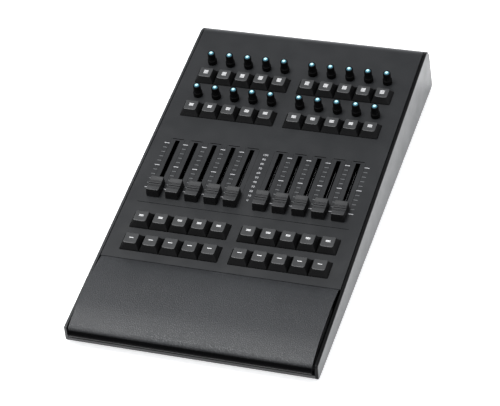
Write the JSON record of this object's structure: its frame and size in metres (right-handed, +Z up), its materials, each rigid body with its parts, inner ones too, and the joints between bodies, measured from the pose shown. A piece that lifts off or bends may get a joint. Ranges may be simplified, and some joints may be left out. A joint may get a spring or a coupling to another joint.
{
  "type": "lighting control desk",
  "caption": "Compact lighting control desk: wedge chassis with rows of rotary encoders, sprung keys and long-throw faders above a moulded palm rest.",
  "frame": {"origin": "on the table, under the middle of the desk's bounding box", "axes": "+X to the user's right, +Y towards the rear, +Z up; the user stands at -Y"},
  "size_m": [0.2328, 0.4237, 0.0659],
  "materials": {
    "chassis_metal": "fine matt powder coat, near black",
    "side_moulding": "satin anthracite moulding",
    "panel_face": "smooth matt anthracite coat",
    "palm_skin": "soft-touch moulding with a leather grain",
    "zinc_plate": "zinc-plated steel",
    "track_black": "black fader body",
    "rail_steel": "ground steel rod",
    "switch_body": "black moulded switch body",
    "circuit_board": "green solder mask",
    "screw_steel": "zinc-plated screw",
    "ribbon": "grey ribbon cable and sockets",
    "socket_shell": "tinned steel shell",
    "screw_black": "black countersunk screw",
    "foot_rubber": "soft black rubber",
    "fader_cap": "fine-textured dark cap",
    "knob": "black moulded knob with a pale light-guide tip",
    "key_cap": "dark translucent silicone-feel key"
  },
  "bodies": {
    "desk": {"base_pan": "chassis_metal", "side_wall_left": "side_moulding", "side_wall_right": "side_moulding", "control_panel": "panel_face", "rear_panel": "chassis_metal", "palm_rest": "palm_skin", "palm_rest_ends": "side_moulding", "fader_tracks": "track_black", "fader_rails": "rail_steel", "encoder_bodies": "zinc_plate", "key_switches": "switch_body", "upper_board": "circuit_board", "lower_board": "circuit_board", "main_board": "circuit_board", "standoffs": "zinc_plate", "board_screws": "screw_steel", "ribbon_cables": "ribbon", "network_socket": "socket_shell", "usb_socket": "socket_shell", "power_inlet": "switch_body", "case_screws": "screw_black", "rubber_feet": "foot_rubber"},
    "fader_01": {"fader_01": "fader_cap"},
    "fader_02": {"fader_02": "fader_cap"},
    "fader_03": {"fader_03": "fader_cap"},
    "fader_04": {"fader_04": "fader_cap"},
    "fader_05": {"fader_05": "fader_cap"},
    "fader_06": {"fader_06": "fader_cap"},
    "fader_07": {"fader_07": "fader_cap"},
    "fader_08": {"fader_08": "fader_cap"},
    "fader_09": {"fader_09": "fader_cap"},
    "fader_10": {"fader_10": "fader_cap"},
    "encoder_rear_01": {"encoder_rear_01": "knob"},
    "encoder_rear_02": {"encoder_rear_02": "knob"},
    "encoder_rear_03": {"encoder_rear_03": "knob"},
    "encoder_rear_04": {"encoder_rear_04": "knob"},
    "encoder_rear_05": {"encoder_rear_05": "knob"},
    "encoder_rear_06": {"encoder_rear_06": "knob"},
    "encoder_rear_07": {"encoder_rear_07": "knob"},
    "encoder_rear_08": {"encoder_rear_08": "knob"},
    "encoder_rear_09": {"encoder_rear_09": "knob"},
    "encoder_rear_10": {"encoder_rear_10": "knob"},
    "encoder_front_01": {"encoder_front_01": "knob"},
    "encoder_front_02": {"encoder_front_02": "knob"},
    "encoder_front_03": {"encoder_front_03": "knob"},
    "encoder_front_04": {"encoder_front_04": "knob"},
    "encoder_front_05": {"encoder_front_05": "knob"},
    "encoder_front_06": {"encoder_front_06": "knob"},
    "encoder_front_07": {"encoder_front_07": "knob"},
    "encoder_front_08": {"encoder_front_08": "knob"},
    "encoder_front_09": {"encoder_front_09": "knob"},
    "encoder_front_10": {"encoder_front_10": "knob"},
    "key_bank_1_left": {"key_bank_1_left": "key_cap"},
    "key_bank_1_right": {"key_bank_1_right": "key_cap"},
    "key_bank_2_left": {"key_bank_2_left": "key_cap"},
    "key_bank_2_right": {"key_bank_2_right": "key_cap"},
    "key_bank_3_left": {"key_bank_3_left": "key_cap"},
    "key_bank_3_right": {"key_bank_3_right": "key_cap"},
    "key_bank_4_left": {"key_bank_4_left": "key_cap"},
    "key_bank_4_right": {"key_bank_4_right": "key_cap"}
  },
  "joints": [
    {"name": "fader_01_slide", "type": "slide", "parent": "desk", "child": "fader_01", "axis": [0, 0.9959, 0.0906], "range_m": [0, 0.062]},
    {"name": "fader_02_slide", "type": "slide", "parent": "desk", "child": "fader_02", "axis": [0, 0.9959, 0.0906], "range_m": [0, 0.062]},
    {"name": "fader_03_slide", "type": "slide", "parent": "desk", "child": "fader_03", "axis": [0, 0.9959, 0.0906], "range_m": [0, 0.062]},
    {"name": "fader_04_slide", "type": "slide", "parent": "desk", "child": "fader_04", "axis": [0, 0.9959, 0.0906], "range_m": [0, 0.062]},
    {"name": "fader_05_slide", "type": "slide", "parent": "desk", "child": "fader_05", "axis": [0, 0.9959, 0.0906], "range_m": [0, 0.062]},
    {"name": "fader_06_slide", "type": "slide", "parent": "desk", "child": "fader_06", "axis": [0, 0.9959, 0.0906], "range_m": [0, 0.062]},
    {"name": "fader_07_slide", "type": "slide", "parent": "desk", "child": "fader_07", "axis": [0, 0.9959, 0.0906], "range_m": [0, 0.062]},
    {"name": "fader_08_slide", "type": "slide", "parent": "desk", "child": "fader_08", "axis": [0, 0.9959, 0.0906], "range_m": [0, 0.062]},
    {"name": "fader_09_slide", "type": "slide", "parent": "desk", "child": "fader_09", "axis": [0, 0.9959, 0.0906], "range_m": [0, 0.062]},
    {"name": "fader_10_slide", "type": "slide", "parent": "desk", "child": "fader_10", "axis": [0, 0.9959, 0.0906], "range_m": [0, 0.062]},
    {"name": "encoder_rear_01_turn", "type": "hinge", "parent": "desk", "child": "encoder_rear_01", "pos_m": [-0.089, 0.14577, 0.05199], "axis": [0, -0.0906, 0.9959], "continuous": true},
    {"name": "encoder_rear_02_turn", "type": "hinge", "parent": "desk", "child": "encoder_rear_02", "pos_m": [-0.0703, 0.14577, 0.05199], "axis": [0, -0.0906, 0.9959], "continuous": true},
    {"name": "encoder_rear_03_turn", "type": "hinge", "parent": "desk", "child": "encoder_rear_03", "pos_m": [-0.0516, 0.14577, 0.05199], "axis": [0, -0.0906, 0.9959], "continuous": true},
    {"name": "encoder_rear_04_turn", "type": "hinge", "parent": "desk", "child": "encoder_rear_04", "pos_m": [-0.0329, 0.14577, 0.05199], "axis": [0, -0.0906, 0.9959], "continuous": true},
    {"name": "encoder_rear_05_turn", "type": "hinge", "parent": "desk", "child": "encoder_rear_05", "pos_m": [-0.0142, 0.14577, 0.05199], "axis": [0, -0.0906, 0.9959], "continuous": true},
    {"name": "encoder_rear_06_turn", "type": "hinge", "parent": "desk", "child": "encoder_rear_06", "pos_m": [0.0142, 0.14577, 0.05199], "axis": [0, -0.0906, 0.9959], "continuous": true},
    {"name": "encoder_rear_07_turn", "type": "hinge", "parent": "desk", "child": "encoder_rear_07", "pos_m": [0.0329, 0.14577, 0.05199], "axis": [0, -0.0906, 0.9959], "continuous": true},
    {"name": "encoder_rear_08_turn", "type": "hinge", "parent": "desk", "child": "encoder_rear_08", "pos_m": [0.0516, 0.14577, 0.05199], "axis": [0, -0.0906, 0.9959], "continuous": true},
    {"name": "encoder_rear_09_turn", "type": "hinge", "parent": "desk", "child": "encoder_rear_09", "pos_m": [0.0703, 0.14577, 0.05199], "axis": [0, -0.0906, 0.9959], "continuous": true},
    {"name": "encoder_rear_10_turn", "type": "hinge", "parent": "desk", "child": "encoder_rear_10", "pos_m": [0.089, 0.14577, 0.05199], "axis": [0, -0.0906, 0.9959], "continuous": true},
    {"name": "encoder_front_01_turn", "type": "hinge", "parent": "desk", "child": "encoder_front_01", "pos_m": [-0.089, 0.09867, 0.0477], "axis": [0, -0.0906, 0.9959], "continuous": true},
    {"name": "encoder_front_02_turn", "type": "hinge", "parent": "desk", "child": "encoder_front_02", "pos_m": [-0.0703, 0.09867, 0.0477], "axis": [0, -0.0906, 0.9959], "continuous": true},
    {"name": "encoder_front_03_turn", "type": "hinge", "parent": "desk", "child": "encoder_front_03", "pos_m": [-0.0516, 0.09867, 0.0477], "axis": [0, -0.0906, 0.9959], "continuous": true},
    {"name": "encoder_front_04_turn", "type": "hinge", "parent": "desk", "child": "encoder_front_04", "pos_m": [-0.0329, 0.09867, 0.0477], "axis": [0, -0.0906, 0.9959], "continuous": true},
    {"name": "encoder_front_05_turn", "type": "hinge", "parent": "desk", "child": "encoder_front_05", "pos_m": [-0.0142, 0.09867, 0.0477], "axis": [0, -0.0906, 0.9959], "continuous": true},
    {"name": "encoder_front_06_turn", "type": "hinge", "parent": "desk", "child": "encoder_front_06", "pos_m": [0.0142, 0.09867, 0.0477], "axis": [0, -0.0906, 0.9959], "continuous": true},
    {"name": "encoder_front_07_turn", "type": "hinge", "parent": "desk", "child": "encoder_front_07", "pos_m": [0.0329, 0.09867, 0.0477], "axis": [0, -0.0906, 0.9959], "continuous": true},
    {"name": "encoder_front_08_turn", "type": "hinge", "parent": "desk", "child": "encoder_front_08", "pos_m": [0.0516, 0.09867, 0.0477], "axis": [0, -0.0906, 0.9959], "continuous": true},
    {"name": "encoder_front_09_turn", "type": "hinge", "parent": "desk", "child": "encoder_front_09", "pos_m": [0.0703, 0.09867, 0.0477], "axis": [0, -0.0906, 0.9959], "continuous": true},
    {"name": "encoder_front_10_turn", "type": "hinge", "parent": "desk", "child": "encoder_front_10", "pos_m": [0.089, 0.09867, 0.0477], "axis": [0, -0.0906, 0.9959], "continuous": true},
    {"name": "key_bank_1_left_press", "type": "slide", "parent": "desk", "child": "key_bank_1_left", "axis": [0, 0.0906, -0.9959], "range_m": [0, 0.0015], "stiffness_N_per_m": 600, "springref_m": -0.0008},
    {"name": "key_bank_1_right_press", "type": "slide", "parent": "desk", "child": "key_bank_1_right", "axis": [0, 0.0906, -0.9959], "range_m": [0, 0.0015], "stiffness_N_per_m": 600, "springref_m": -0.0008},
    {"name": "key_bank_2_left_press", "type": "slide", "parent": "desk", "child": "key_bank_2_left", "axis": [0, 0.0906, -0.9959], "range_m": [0, 0.0015], "stiffness_N_per_m": 600, "springref_m": -0.0008},
    {"name": "key_bank_2_right_press", "type": "slide", "parent": "desk", "child": "key_bank_2_right", "axis": [0, 0.0906, -0.9959], "range_m": [0, 0.0015], "stiffness_N_per_m": 600, "springref_m": -0.0008},
    {"name": "key_bank_3_left_press", "type": "slide", "parent": "desk", "child": "key_bank_3_left", "axis": [0, 0.0906, -0.9959], "range_m": [0, 0.0015], "stiffness_N_per_m": 600, "springref_m": -0.0008},
    {"name": "key_bank_3_right_press", "type": "slide", "parent": "desk", "child": "key_bank_3_right", "axis": [0, 0.0906, -0.9959], "range_m": [0, 0.0015], "stiffness_N_per_m": 600, "springref_m": -0.0008},
    {"name": "key_bank_4_left_press", "type": "slide", "parent": "desk", "child": "key_bank_4_left", "axis": [0, 0.0906, -0.9959], "range_m": [0, 0.0015], "stiffness_N_per_m": 600, "springref_m": -0.0008},
    {"name": "key_bank_4_right_press", "type": "slide", "parent": "desk", "child": "key_bank_4_right", "axis": [0, 0.0906, -0.9959], "range_m": [0, 0.0015], "stiffness_N_per_m": 600, "springref_m": -0.0008}
  ]
}
